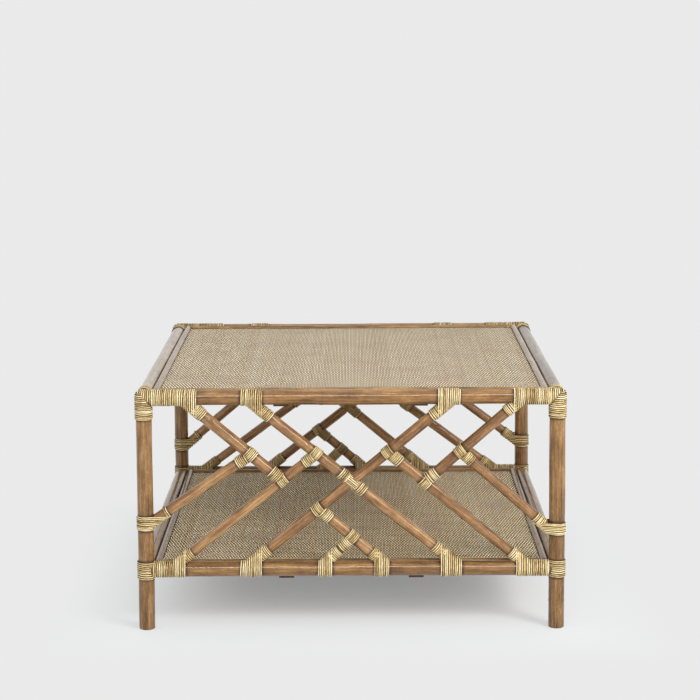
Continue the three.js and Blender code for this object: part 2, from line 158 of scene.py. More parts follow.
# Woven mats
warp_pitch = 2.875 * MM
warp_width = 2.62 * MM
warp_thickness = 0.48 * MM
weft_pitch = 9 * MM
weft_width = 8.1 * MM
weft_thickness = 0.45 * MM
warp_swing = 0.45 * MM
warp_phases = (0.0, 0.12, 0.38, 0.5, 0.75)
warp_swings = (0.0, 1.0, 1.0, 0.0, -1.0)
warp_width_range = (0.97, 1.03)
warp_tone, warp_tone_spread = 0.5, 0.22
weft_tones = (0.2, 0.8)
mat_margin = 1 * MM
warp_stagger = 0.03 * MM
weft_stagger = 0.12 * MM
weft_steps = 25

rng = np.random.default_rng(20260411)


# Arrays of points and faces
def unit(vector):
    vector = np.asarray(vector, float)
    return vector / np.linalg.norm(vector, axis=-1, keepdims=True)


def grid_faces(rows, ring):
    """Quads between rows of points, each row a closed ring of that many points."""
    row = np.arange(rows - 1)[:, None] * ring
    here = np.arange(ring)[None, :]
    after = (here + 1) % ring
    corners = [row + here, row + ring + here, row + ring + after, row + after]
    return np.stack(corners, axis=-1).reshape(-1, 4)


def fan_faces(hub, edge, reverse=False):
    """Triangles from one point to every two neighbours along an edge."""
    here, after = (edge[1:], edge[:-1]) if reverse else (edge[:-1], edge[1:])
    return np.stack([np.full_like(here, hub), here, after], axis=-1)


def hub_faces(hub, first, ring, reverse=False):
    """Triangles from a middle point to a closed ring of points."""
    return fan_faces(hub, first + np.append(np.arange(ring), 0), reverse)


def gather(parts):
    """Joins parts, each a dict of points, quads, triangles and values for each point."""
    offsets = np.cumsum([0] + [len(part["points"]) for part in parts])
    faces = {
        kind: np.concatenate([part[kind] + offset for part, offset in zip(parts, offsets)])
        for kind in ("quads", "triangles")
    }
    values = {name: np.concatenate([part["values"][name] for part in parts]) for name in parts[0]["values"]}
    return {"points": np.concatenate([part["points"] for part in parts]), **faces, "values": values}


def add_piece(name, part, material, slot, *nodes):
    """A mesh object of the part that rides on the table and stands for these CAD nodes."""
    mesh = bpy.data.meshes.new(name)
    points = np.clip(part["points"], cad_low, cad_high)
    quads, triangles = part["quads"], part["triangles"]
    corners = np.concatenate([quads.ravel(), triangles.ravel()])
    starts = np.concatenate([np.arange(len(quads)) * 4, quads.size + np.arange(len(triangles)) * 3])
    mesh.vertices.add(len(points))
    mesh.vertices.foreach_set("co", points.astype(np.float32).ravel())
    mesh.loops.add(len(corners))
    mesh.loops.foreach_set("vertex_index", corners.astype(np.int32))
    mesh.polygons.add(len(starts))
    mesh.polygons.foreach_set("loop_start", starts.astype(np.int32))
    mesh.update(calc_edges=True)
    mesh.polygons.foreach_set("use_smooth", np.ones(len(starts), bool))
    for value_name, held in part["values"].items():
        kind, field = ("FLOAT_VECTOR", "vector") if held.ndim == 2 else ("FLOAT", "value")
        attribute = mesh.attributes.new(value_name, kind, "POINT")
        attribute.data.foreach_set(field, held.astype(np.float32).ravel())
    mesh.validate()
    mesh.materials.append(material)
    piece = bpy.data.objects.new(name, mesh)
    bpy.context.scene.collection.objects.link(piece)
    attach(piece, "root")
    if nodes:
        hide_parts(*nodes)


# Node materials
def colour(red, green, blue):
    """A linear colour from the 0 to 255 values that a screen shows."""
    shown = np.array([red, green, blue]) / 255
    linear = np.where(shown <= 0.04045, shown / 12.92, ((shown + 0.055) / 1.055) ** 2.4)
    return (*linear, 1.0)


class Tree:
    """A short way to write the nodes of a material or a world."""

    def __init__(self, owner):
        owner.use_nodes = True
        self.owner = owner
        self.nodes = owner.node_tree.nodes
        self.links = owner.node_tree.links
        self.nodes.clear()

    def plug(self, value, socket):
        if isinstance(value, bpy.types.NodeSocket):
            self.links.new(value, socket)
        else:
            socket.default_value = value

    def add(self, kind, settings=(), **inputs):
        """A node. An input named i and a number is the socket at that place."""
        node = self.nodes.new("ShaderNode" + kind)
        for key, value in dict(settings).items():
            setattr(node, key, value)
        for key, value in inputs.items():
            by_place = key[0] == "i" and key[1:].isdigit()
            self.plug(value, node.inputs[int(key[1:])] if by_place else node.inputs[key])
        return node

    def value(self, name):
        return self.add("Attribute", {"attribute_name": name}).outputs["Fac"]

    def vector(self, name, scale):
        place = self.add("Attribute", {"attribute_name": name}).outputs["Vector"]
        return self.add("Mapping", Vector=place, Scale=scale).outputs["Vector"]

    def noise(self, vector, scale, detail=3.0, roughness=0.55):
        return self.add(
            "TexNoise", Vector=vector, Scale=scale, Detail=detail, Roughness=roughness,
        ).outputs["Fac"]

    def math(self, operation, first, second):
        return self.add("Math", {"operation": operation}, i0=first, i1=second).outputs[0]

    def span(self, value, low, high, to_low=0.0, to_high=1.0):
        node = self.add("MapRange", {"interpolation_type": "SMOOTHSTEP"}, Value=value)
        for key, amount in (("From Min", low), ("From Max", high), ("To Min", to_low), ("To Max", to_high)):
            node.inputs[key].default_value = amount
        return node.outputs["Result"]

    def blend(self, *parts):
        """The weighted sum of these values."""
        total = self.math("MULTIPLY", *parts[0])
        for part in parts[1:]:
            total = self.math("ADD", total, self.math("MULTIPLY", *part))
        return total

    def ramp(self, value, *stops):
        node = self.add("ValToRGB", i0=value)
        elements = node.color_ramp.elements
        while len(elements) < len(stops):
            elements.new(0.5)
        for element, (place, shade) in zip(elements, stops):
            element.position = place
            element.color = colour(*shade)
        return node.outputs["Color"]

    def mix(self, share, first, second):
        node = self.add("Mix", {"data_type": "RGBA", "blend_type": "MIX", "clamp_result": False})
        for place, value in ((0, share), (6, first), (7, second)):
            self.plug(value, node.inputs[place])
        return node.outputs[2]

    def choose(self, share, first, second):
        """The first shader, turning into the second as the share rises."""
        return self.add("MixShader", i0=share, i1=first.outputs[0], i2=second.outputs[0])

    def finish(self, shade, roughness, height, depth, **settings):
        bump = self.add("Bump", Height=height, Strength=0.9, Distance=depth)
        shader = self.add("BsdfPrincipled", Roughness=roughness, Normal=bump.outputs["Normal"])
        self.links.new(shade, shader.inputs["Base Color"])
        for key, value in settings.items():
            shader.inputs[key.replace("_", " ")].default_value = value
        self.add("OutputMaterial", i0=shader.outputs[0])
        return self.owner


def cane_skin(name, dark, mid, light):
    """Lacquered rattan skin: fine fibres, short dashes, soft blotches, small specks, darker knuckles, and a
    dark band beside the bindings that is partly glazing and partly painted contact shade."""
    tree = Tree(bpy.data.materials.new(name))
    # This dark colour marks the real specks and knuckle stains, and also paints the shade beside the
    # bindings.
    stain_and_shade = colour(66, 40, 22)
    fibre = tree.noise(tree.vector("grain", (1, 1, 0.03)), 1500, 4.0, 0.6)
    streak = tree.noise(tree.vector("grain", (1, 1, 0.025)), 320)
    side = tree.noise(tree.vector("grain", (1, 1, 0.12)), 90)
    dash = tree.noise(tree.vector("grain", (1, 1, 0.22)), 620, 3.0, 0.6)
    blotch = tree.noise(tree.vector("grain", (1, 1, 0.5)), 60)
    speck = tree.noise(tree.vector("grain", (1, 1, 0.6)), 1000, 1.0)
    body = tree.blend(
        (fibre, 0.18), (streak, 0.22), (side, 0.26), (blotch, 0.18), (dash, 0.14), (tree.value("tone"), 0.1),
    )
    shade = tree.ramp(body, (0.44, dark), (0.54, mid), (0.64, light))
    spots = tree.math("MULTIPLY", tree.span(speck, 0.61, 0.68, 0, 0.85), tree.span(blotch, 0.44, 0.6, 0.1, 1))
    at_knuckles = tree.math("MULTIPLY", tree.value("knuckle"), tree.span(dash, 0.4, 0.6, 0, 0.3))
    # Beside the bindings the skin darkens: painted contact shade, with some glazing.
    shade_and_glazing_at_bindings = tree.math("MULTIPLY", tree.value("shade_and_glazing_by_bindings"), tree.span(dash, 0.3, 0.6, 0.75, 1))
    for share in (spots, at_knuckles, shade_and_glazing_at_bindings):
        shade = tree.mix(share, shade, stain_and_shade)
    roughness = tree.span(streak, 0.35, 0.65, 0.42, 0.55)
    return tree.finish(
        shade, roughness, fibre, 0.1 * MM, Coat_Weight=0.9, Coat_Roughness=0.13, Specular_IOR_Level=0.1,
    )


def peel(name, darkest, dark, mid, light):
    """Straw-coloured peel strands, darkened away from their crowns: glazing and painted shade in the gaps
    between them.
    """
    tree = Tree(bpy.data.materials.new(name))
    fibre = tree.noise(tree.vector("grain", (1, 1, 0.05)), 2600, 3.0, 0.6)
    patch = tree.noise(tree.vector("grain", (1, 1, 0.7)), 150)
    body = tree.blend((fibre, 0.3), (patch, 0.45), (tree.value("tone"), 0.25))
    shade = tree.ramp(body, (0.32, darkest), (0.43, dark), (0.54, mid), (0.66, light))
    # Painted shade, with some glazing: all but the crown of each strand turns deep brown, standing for the
    # shade in the gaps.
    shade = tree.mix(tree.span(tree.value("rise"), 0.42, 1, 1, 0), shade, colour(38, 23, 9))
    roughness = tree.span(fibre, 0.3, 0.7, 0.42, 0.6)
    return tree.finish(shade, roughness, fibre, 0.12 * MM, Coat_Weight=0.2, Coat_Roughness=0.3)


def woven(name, dark, mid, light, edge_shade_and_glazing, edge_shade_and_glazing_most):
    """Flat rattan splints of a mat, darker along their edges: glazing and painted shade."""
    tree = Tree(bpy.data.materials.new(name))
    fibre = tree.noise(tree.vector("grain", (1, 0.04, 1)), 2300, 3.0, 0.6)
    patch = tree.noise(tree.vector("grain", (1, 0.35, 1)), 130, 2.0)
    cloud = tree.noise(tree.add("TexCoord").outputs["Object"], 11)
    body = tree.blend((fibre, 0.3), (tree.value("tone"), 0.2), (patch, 0.5))
    shade = tree.ramp(body, (0.34, dark), (0.5, mid), (0.66, light))
    shade = tree.mix(tree.span(cloud, 0.48, 0.68, 0, 0.35), shade, colour(166, 142, 126))
    # Painted shade, with some glazing: each splint darkens towards its edges, where the weave dips into
    # shade.
    shade = tree.mix(tree.span(tree.value("rise"), -1, -0.35, edge_shade_and_glazing_most, 0), shade, colour(*edge_shade_and_glazing))
    roughness = tree.span(fibre, 0.3, 0.7, 0.42, 0.6)
    return tree.finish(shade, roughness, fibre, 0.08 * MM, Coat_Weight=0.05, Coat_Roughness=0.3, IOR=1.3)


def plain_wood(name, dark, light):
    """Sawn wood or veneer with its grain running front to back."""
    tree = Tree(bpy.data.materials.new(name))
    place = tree.add("TexCoord").outputs["Object"]
    stretched = tree.add("Mapping", Vector=place, Scale=(1, 0.06, 1)).outputs["Vector"]
    grain = tree.noise(stretched, 260, 5.0, 0.6)
    broad = tree.noise(stretched, 40)
    shade = tree.ramp(tree.blend((grain, 0.6), (broad, 0.4)), (0.32, dark), (0.66, light))
    return tree.finish(shade, tree.span(grain, 0.3, 0.7, 0.6, 0.8), grain, 0.3 * MM)


leg_skin = cane_skin("leg_skin", (80, 54, 27), (134, 98, 57), (174, 140, 92))
lattice_skin = cane_skin("lattice_skin", (76, 49, 26), (131, 93, 56), (179, 140, 94))
# The shelf's cane skins are darker than the top's: painted shade for the shelf under the table top.
rail_skins = {
    "top": cane_skin("top_rail_skin", (82, 54, 25), (140, 100, 54), (186, 148, 94)),
    "shelf": cane_skin("shelf_rail_skin_painted_shade", (74, 49, 22), (127, 91, 49), (172, 136, 85)),
}
# The top side rails' skin here, and the top side beads' skin below, are paler and greyer than the other cane:
# a painted reflection of the bright surroundings along them.
side_rail_skins_painted_sheen_and_shade = {
    "top": cane_skin("top_side_skin_painted_reflection", (92, 74, 55), (140, 120, 96), (178, 160, 136)),
    "shelf": cane_skin("shelf_side_skin_painted_shade", (72, 49, 25), (120, 88, 52), (162, 130, 88)),
}
bead_skins = {
    "top": cane_skin("top_bead_skin", (100, 72, 38), (152, 118, 72), (190, 156, 104)),
    "shelf": cane_skin("shelf_bead_skin_painted_shade", (78, 56, 33), (122, 94, 63), (160, 130, 94)),
}
side_bead_skins_painted_sheen_and_shade = {
    "top": cane_skin("top_side_bead_skin_painted_reflection", (98, 76, 54), (146, 120, 90), (182, 156, 124)),
    "shelf": bead_skins["shelf"],
}
# The back peel is a darker copy of the front peel: painted shade for the bindings at the back, under the
# table top.
peels = {
    "front": peel("front_peel", (142, 110, 62), (198, 168, 110), (230, 206, 150), (248, 233, 191)),
    "back": peel("back_peel_painted_shade", (108, 83, 44), (166, 137, 82), (202, 174, 116), (230, 208, 154)),
}
# The shelf's splints are lit and shaded copies of the top's: lighter warps make up for the shade the top
# casts on the shelf (painted light), and darker wefts deepen the shade between them (painted shade).
warp_splints = {
    "top": woven("warp_splint", (226, 202, 163), (244, 226, 192), (250, 238, 212), (50, 34, 22), 0.76),
    "shelf": woven(
        "shelf_warp_splint_painted_light", (240, 205, 152), (255, 235, 190), (255, 249, 222), (34, 22, 10), 0.85,
    ),
}
# The wefts are far darker than the warps: painted shade of the recesses where they show between the warps,
# with some glazing.
shaded_weft_splints = {
    "top": woven("weft_splint", (46, 34, 22), (72, 56, 39), (104, 84, 60), (30, 21, 12), 0.6),
    "shelf": woven("shelf_weft_splint_painted_shade", (28, 19, 10), (44, 31, 18), (70, 52, 33), (20, 13, 6), 0.6),
}
board_wood = plain_wood("board_wood", (150, 118, 78), (190, 158, 116))
batten_wood = plain_wood("batten_wood", (52, 32, 20), (92, 62, 40))


# Rattan poles
def wobble(places, longest, amount):
    """Smooth irregular values along a pole."""
    total = np.zeros_like(places)
    for part, weight in wave_parts:
        total += weight * np.sin(2 * math.pi * places / (longest * part) + rng.uniform(0, 2 * math.pi))
    return amount * total


def knuckle_places(length):
    """Where the knuckles of a pole lie."""
    places, place = [], rng.uniform(*first_knuckle_shares) * knuckle_spacing[0]
    while place < length:
        places.append(place)
        place += rng.uniform(*knuckle_spacing)
    return places


def ring_places(length, knuckles, start_rounding, end_rounding):
    """Where the rings of a pole lie, closer together at knuckles and at rounded ends."""
    places = [np.linspace(0, length, max(int(length / ring_spacing), 8))]
    near = np.array(knuckle_rings) * knuckle_half_width
    places += [knuckle + near for knuckle in knuckles]
    bend = 1 - np.cos(np.linspace(0, math.pi / 2, 7))
    places += [start_rounding * bend, length - end_rounding * bend]
    joined = np.unique(np.round(np.concatenate(places), 6))
    return joined[(joined >= 0) & (joined <= length)]


def rounded_off(places, length, start_rounding, end_rounding):
    """How much the radius shrinks towards rounded ends."""
    lost = np.zeros_like(places)
    for rounding, from_end in ((start_rounding, places), (end_rounding, length - places)):
        if rounding > 0:
            into = np.clip((rounding - from_end) / rounding, 0, 1)
            lost += rounding * (1 - np.sqrt(1 - into**2))
    return lost


def saddle_distance(points, direction, host, farther):
    """How far along the direction each point's line meets a host pole."""
    host_place, host_direction, host_radius = host
    from_host = points - host_place
    from_host = from_host - (from_host @ host_direction)[:, None] * host_direction
    across = direction - (direction @ host_direction) * host_direction
    a = across @ across
    b = 2 * from_host @ across
    c = (from_host**2).sum(1) - host_radius**2
    root = np.sqrt(np.maximum(b * b - 4 * a * c, 0))
    return (-b + (root if farther else -root)) / (2 * a)


def ring_outline(columns):
    """Points of a circle of radius 1."""
    angles = np.arange(columns) * 2 * math.pi / columns
    return np.stack([np.cos(angles), np.sin(angles)], axis=-1)


def pole(start, end, radius, start_hosts=(), end_hosts=(), start_rounding=0.0, end_rounding=0.0,
         outline=None, wide=BACK, bound_edges=(), tone=None):
    """A rattan pole from start to end. Its ends are coped to their hosts, or rounded off. The bound edges are
    the places along it where a binding on it ends. Its tone is one value, or one for each end."""
    start, end = np.asarray(start, float), np.asarray(end, float)
    length = np.linalg.norm(end - start)
    direction = (end - start) / length
    first = unit(wide - (wide @ direction) * direction)
    second = np.cross(direction, first)
    outline = ring_outline(pole_columns) if outline is None else outline
    columns = len(outline)
    knuckles = knuckle_places(length)
    offsets = outline * radius
    feet = start + offsets[:, :1] * first + offsets[:, 1:] * second
    low = np.zeros(columns)
    high = np.full(columns, length)
    if start_hosts:
        low = np.max([saddle_distance(feet, direction, host, True) for host in start_hosts], axis=0)
    if end_hosts:
        high = np.min([saddle_distance(feet, direction, host, False) for host in end_hosts], axis=0)
    edge_places = [length * (edge - low.mean()) / (high.mean() - low.mean()) for edge in bound_edges]
    places = ring_places(length, [*knuckles, *edge_places], start_rounding, end_rounding)
    size = 1 + wobble(places, swelling_length, swelling)
    nearness = np.zeros_like(places)
    for knuckle in knuckles:
        apart = (places - knuckle) / knuckle_half_width
        groove = groove_depth * np.exp(-((apart - groove_place) / groove_width) ** 2)
        size += (knuckle_height * np.exp(-apart**2) - groove) / radius
        nearness = np.maximum(nearness, np.exp(-((apart - stain_place) / stain_width) ** 2))
    size -= rounded_off(places, length, start_rounding, end_rounding) / radius
    window = np.sin(math.pi * np.clip(places / length, 0, 1)) ** 0.5
    largest_wave = sum(weight for _, weight in wave_parts)
    sideways = [wobble(places, sway_length, sway / largest_wave) * window for _ in range(2)]
    share = places / length
    along = low[None, :] + share[:, None] * (high - low)[None, :]
    # Darkening next to each binding's edge: painted contact shade, with some glazing.
    shade_and_glazing_by_bindings = np.zeros_like(along)
    for edge in bound_edges:
        shade_and_glazing_by_bindings = np.maximum(shade_and_glazing_by_bindings, np.exp(-((along - edge) / binding_shade_half_width) ** 2))
    rings = (
        start
        + along[..., None] * direction
        + (size[:, None] * offsets[None, :, 0] + sideways[0][:, None])[..., None] * first
        + (size[:, None] * offsets[None, :, 1] + sideways[1][:, None])[..., None] * second
    )
    rows = len(places)
    hubs = np.stack([rings[0].mean(0), rings[-1].mean(0)])
    points = np.concatenate([rings.reshape(-1, 3), hubs])
    drawn_tone = rng.uniform()
    tones = np.interp(share, (0, 1), np.broadcast_to(drawn_tone if tone is None else tone, 2))
    shift = rng.uniform(0, 5, 3)
    section = [np.broadcast_to(offsets[None, :, axis], along.shape) for axis in (0, 1)]
    grain = np.stack([*section, along], axis=-1).reshape(-1, 3)
    grain = np.concatenate([grain, [[0, 0, 0], [0, 0, length]]]) + shift
    return {
        "points": points,
        "quads": grid_faces(rows, columns)[:, ::-1],
        "triangles": np.concatenate([
            hub_faces(rows * columns, 0, columns, True),
            hub_faces(rows * columns + 1, (rows - 1) * columns, columns),
        ]),
        "values": {
            "grain": grain,
            "tone": np.concatenate([np.repeat(tones, columns), tones[[0, -1]]]),
            "knuckle": np.concatenate([np.repeat(nearness, columns), [0, 0]]),
            "shade_and_glazing_by_bindings": np.concatenate([shade_and_glazing_by_bindings.ravel(), [0, 0]]),
        },
    }


# Peel strands
def strand(path, outward, tones):
    """One closed strand along a path. Its section is domed, and outward says which way the dome looks."""
    turn = np.arange(strand_sides) * 2 * math.pi / strand_sides
    rise = np.sin(turn)
    section = np.stack([np.cos(turn) * strand_width / 2, rise * strand_thickness / 2], axis=-1)
    tangent = unit(np.gradient(path, axis=0))
    side = unit(np.cross(tangent, outward))
    out = np.cross(side, tangent)
    rows, ring = len(path), len(section)
    last = (rows - 1) * ring
    points = path[:, None] + section[None, :, :1] * side[:, None] + section[None, :, 1:] * out[:, None]
    gone = np.concatenate([[0], np.cumsum(np.linalg.norm(np.diff(path, axis=0), axis=1))])
    shift = rng.uniform(0, 5, 3)
    along = [section[None, :, 0], section[None, :, 1], gone[:, None]]
    grain = np.stack([np.broadcast_to(axis, (rows, ring)) for axis in along], axis=-1).reshape(-1, 3)
    return {
        "points": points.reshape(-1, 3),
        "quads": grid_faces(rows, ring),
        "triangles": np.concatenate([
            fan_faces(0, np.arange(1, ring)), fan_faces(last, last + np.arange(1, ring), True),
        ]),
        "values": {
            "grain": grain + shift,
            "tone": np.repeat(tones, ring),
            "rise": np.tile(rise, rows),
        },
    }


def dived(count, steps):
    """How far a strand has sunk under its neighbours, from 1 at its two ends to 0."""
    step = np.arange(count)
    from_end = np.minimum(step, count - 1 - step) / steps
    return np.clip(1 - from_end, 0, 1) ** 2


def wound(origin, along, sideways, radius, low, high, turn_start, brace=None):
    """A strand wound round a host pole from one place along it to another. Sideways is in the panel, and the
    turns also take in the brace that leaves the host there: its crossing place, slope, radius and lean."""
    turns = max(int(round((high - low) / strand_pitch)), 1)
    count = turns * strand_steps + 1
    turn = np.arange(count) / strand_steps
    angle = 2 * math.pi * turn + turn_start
    each_turn = np.arange(turns + 2)
    uneven = np.interp(turn, each_turn, rng.normal(0, uneven_pitch, len(each_turn))) * strand_pitch
    place = low + (high - low) * turn / turns + uneven
    lift = np.interp(turn, each_turn, np.abs(rng.normal(0, uneven_lift_mm, len(each_turn)))) * MM
    depth = np.cross(along, sideways)
    normal = np.stack([np.cos(angle), np.sin(angle)], axis=-1)
    flat = normal * (radius + strand_thickness * seat_share)
    if brace:
        crossing, slope, brace_radius, lean = brace
        off = (place - crossing) * slope
        reach = np.array([brace_radius + strand_thickness * seat_share] * 2) * (1, lean)
        support = reach**2 * normal
        support = support / np.sqrt((support * normal).sum(1, keepdims=True))
        support[:, 1] += off
        farther = (off > 0) & ((support * normal).sum(1) > (flat * normal).sum(1))
        flat = np.where(farther[:, None], support, flat)
    sink = dived(count, strand_steps * dive_turns) * strand_thickness
    flat = flat + normal * (lift - sink)[:, None]
    path = origin + place[:, None] * along + flat[:, :1] * depth + flat[:, 1:] * sideways
    outward = normal[:, :1] * depth + normal[:, 1:] * sideways
    tones = np.interp(turn, each_turn, rng.uniform(0, 1, len(each_turn)))
    return strand(path, outward, tones)


# The lattice. These shares say where each line crosses the top rail and the shelf rail, in half spans from
# the middle.
front_lines = {
    "upper_left_brace": (-0.819, 0.185),
    "left_leg_brace": (-0.079, -1.31),
    "lower_left_brace": (0.179, -0.88),
    "main_diagonal": (-0.51, 0.538),
    "cross_diagonal": (0.507, -0.52),
    "foot_brace": (-0.811, 0.193),
    "short_foot_brace": (0.704, -0.155),
    "lower_right_brace": (-0.145, 0.87),
    "upper_right_brace": (0.838, -0.131),
    "right_leg_brace": (0.23, 1.178),
}
back_lines = {
    **front_lines,
    "left_leg_brace": (-0.17, -1.17),
    "lower_left_brace": (0.26, -0.893),
    "main_diagonal": (-0.566, 0.455),
    "cross_diagonal": (0.57, -0.523),
    "foot_brace": (-0.895, 0.105),
    "short_foot_brace": (0.66, -0.2),
    "lower_right_brace": (-0.283, 0.862),
    "right_leg_brace": (0.087, 1.217),
}

# A joint's host is wrapped from near to far, in millimetres from the crossing of the axes towards the brace,
# and LEG says that the wrap starts at the leg. The brace's own band is measured from the wrap's far edge.
LEG = None


def joint(near, far, band, band_from=None):
    """A joint's sizes in metres, from millimetres."""
    return {
        "wrap": (LEG if near is LEG else near * MM, far * MM), "band": band * MM,
        "band_from": None if band_from is None else band_from * MM,
    }


lattice_plan = {
    "upper_left_brace": dict(
        radius=stout_radius, tone=0.6, hosts=("top_rail", "lower_left_brace"), joint=joint(LEG, 29, 15),
    ),
    "left_leg_brace": dict(
        radius=middle_radius, tone=0.8, hosts=("left_leg", "upper_left_brace"),
        joint=joint(-7, 21, 15, 7), back_joint=joint(-3, 24, 15, 7),
    ),
    "lower_left_brace": dict(
        radius=slim_radius, tone=0.85, hosts=("shelf_rail", "main_diagonal"), joint=joint(LEG, 30, 14),
    ),
    "main_diagonal": dict(
        radius=middle_radius, tone=0.75, hosts=("top_rail", "shelf_rail"),
        joint=joint(-9, 32, 19), end_joint=joint(-1, 39, 17),
    ),
    "cross_diagonal_lower": dict(
        radius=middle_radius, tone=0.55, hosts=("shelf_rail", "main_diagonal"),
        joint=joint(-7, 34, 16), line="cross_diagonal",
    ),
    "cross_diagonal_upper": dict(
        radius=middle_radius, tone=0.5, hosts=("top_rail", "main_diagonal"),
        joint=joint(-8, 34, 13), line="cross_diagonal",
    ),
    "foot_brace": dict(
        radius=middle_radius, tone=0.8, hosts=("shelf_rail", "cross_diagonal_lower"), joint=joint(2, 31, 9),
    ),
    "short_foot_brace": dict(
        radius=slim_radius, tone=0.5, hosts=("shelf_rail", "foot_brace"), joint=joint(-2, 25, 17),
    ),
    "lower_right_brace": dict(
        radius=middle_radius, tone=0.6, hosts=("shelf_rail", "cross_diagonal_upper"),
        joint=joint(LEG, 27, 14),
    ),
    "upper_right_brace": dict(
        radius=middle_radius, tone=0.3, hosts=("top_rail", "lower_right_brace"), joint=joint(LEG, 21, 17),
    ),
    "right_leg_brace": dict(
        radius=slim_radius, tone=0.35, hosts=("right_leg", "upper_right_brace"),
        joint=joint(4, 28, 13), back_joint=joint(-3, 24, 13),
    ),
}
crossing_name = "main_diagonal"
crossing_halves = ("cross_diagonal_lower", "cross_diagonal_upper")
leg_lead = leg_radius - 1.5 * MM
corner_low = 54 * MM
corner_low_z = top_rail_z - corner_low + rail_radius
low_corner_half = rail_radius + 2.5 * MM
low_corner_span = (shelf_rail_z - low_corner_half, shelf_rail_z + low_corner_half)


def axes_of_panel(lines, y):
    """Start, end and radius of each member's axis in the panel with these lines at this depth."""
    def axis(start_share, start_z, end_share, end_z, radius):
        return np.array([start_share * leg_x, y, start_z]), np.array([end_share * leg_x, y, end_z]), radius

    axes = {
        "top_rail": axis(-1, top_rail_z, 1, top_rail_z, rail_radius),
        "shelf_rail": axis(-1, shelf_rail_z, 1, shelf_rail_z, rail_radius),
        "left_leg": axis(-1, 0, -1, leg_height, leg_radius),
        "right_leg": axis(1, 0, 1, leg_height, leg_radius),
    }
    whole = dict(axes)
    for name, plan in lattice_plan.items():
        top_share, shelf_share = lines[plan.get("line", name)]
        whole[name] = axis(top_share, top_rail_z, shelf_share, shelf_rail_z, plan["radius"])
    for name, plan in lattice_plan.items():
        axes[name] = (*(meeting(whole[name], whole[host]) for host in plan["hosts"]), plan["radius"])
    return axes


def meeting(one, other):
    """Where two axes of a panel cross."""
    along, across, apart = one[1] - one[0], other[1] - other[0], other[0] - one[0]
    share = (apart[0] * across[2] - apart[2] * across[0]) / (along[0] * across[2] - along[2] * across[0])
    return one[0] + along * share


def host_of(axis):
    """The start, direction and radius of a member's axis."""
    return axis[0], unit(axis[1] - axis[0]), axis[2]


def leaving(brace_axis, at_start, host_axis):
    """A joint's point, the brace's way out of it, the host's direction, and the point's place along it."""
    start, end, _ = brace_axis
    point, far_point = (start, end) if at_start else (end, start)
    host_start, host_direction, _ = host_of(host_axis)
    return point, unit(far_point - point), host_direction, (point - host_start) @ host_direction


def joint_spans(brace_axis, at_start, host_axis, wrap=None, band=band_length, band_from=None):
    """Where the two bindings of a joint lie: along the host, and along the brace from the joint outwards."""
    _, outwards, host_direction, crossing = leaving(brace_axis, at_start, host_axis)
    cosine = outwards @ host_direction
    if wrap is None:
        edge = host_axis[2] / math.sqrt(1 - cosine**2)
        return (crossing - host_band_half, crossing + host_band_half), (edge - band_lead, edge + band)
    near, far = wrap
    heading = math.copysign(1, cosine)
    if near is LEG:
        near_end = leg_lead if heading > 0 else 2 * leg_x - leg_lead
    else:
        near_end = crossing + heading * near
    edge = far / abs(cosine)
    band_low = edge - hidden_lead * brace_axis[2] if band_from is None else edge + band_from
    return tuple(sorted((near_end, crossing + heading * far))), (band_low, edge + band)


def joint_binding(brace_axis, at_start, host_axis, wrap=None, **sizes):
    """The two bindings of a joint: the wrap round the host, and the band round the brace's own end."""
    host_span, own_span = joint_spans(brace_axis, at_start, host_axis, wrap, **sizes)
    point, outwards, host_direction, crossing = leaving(brace_axis, at_start, host_axis)
    host_start, _, host_radius = host_axis
    radius = brace_axis[2]
    cosine = outwards @ host_direction
    sideways = outwards - cosine * host_direction
    sine = np.linalg.norm(sideways)
    brace = None if wrap is None else (crossing, sine / cosine, radius, 1 / abs(cosine))
    turn_start = math.pi / 2 if wrap is None else -math.pi / 2
    around = unit(np.cross(outwards, BACK))
    return [
        wound(host_start, host_direction, sideways / sine, host_radius, *host_span, turn_start, brace),
        wound(point, outwards, around, radius, *own_span, math.pi / 2),
    ]


def joints_of_panel(prefix):
    """The joints of a panel: the member, whether it is at the member's start, its host, and the sizes."""
    for name, plan in lattice_plan.items():
        start_host, end_host = plan["hosts"]
        yield name, True, start_host, plan.get(f"{prefix}_joint", plan["joint"])
        if name not in crossing_halves:
            yield name, False, end_host, plan.get("end_joint", {})


def bound_edges_of_panel(prefix, axes):
    """Places along each pole of a panel where a binding on it ends."""
    edges = {name: [] for name in axes}
    for name, at_start, host, sizes in joints_of_panel(prefix):
        host_span, own_span = joint_spans(axes[name], at_start, axes[host], **sizes)
        length = np.linalg.norm(axes[name][1] - axes[name][0])
        edges[host] += host_span
        edges[name].append(own_span[1] if at_start else length - own_span[1])
    middle_place = np.linalg.norm(axes[crossing_halves[0]][1] - axes[crossing_name][0])
    for sign in (-1, 1):
        edges[crossing_name].append(middle_place + sign * (patch_length / 2 + band_length))
    for side in ("left_leg", "right_leg"):
        edges[side] += [corner_low_z, *low_corner_span]
    return edges


def crossing_patch(centre, direction, radius, half_length):
    """Strands that lie along the diagonal over the crossing, front and back."""
    parts = []
    across = unit(np.cross(direction, BACK))
    seat = radius + strand_thickness / 2
    count = int(2 * patch_half_angle * seat / strand_pitch) + 2
    steps = np.linspace(-1, 1, patch_steps)
    sink = np.clip((np.abs(steps) - (1 - patch_dive)) / patch_dive, 0, 1) ** 2 * strand_thickness
    for side in (-1, 1):
        for angle in np.linspace(-patch_half_angle, patch_half_angle, count):
            normal = side * math.cos(angle) * BACK + math.sin(angle) * across
            path = centre + (steps * half_length)[:, None] * direction + (seat - sink)[:, None] * normal
            outward = np.broadcast_to(normal, path.shape)
            parts.append(strand(path, outward, np.full(len(steps), rng.uniform())))
    return parts


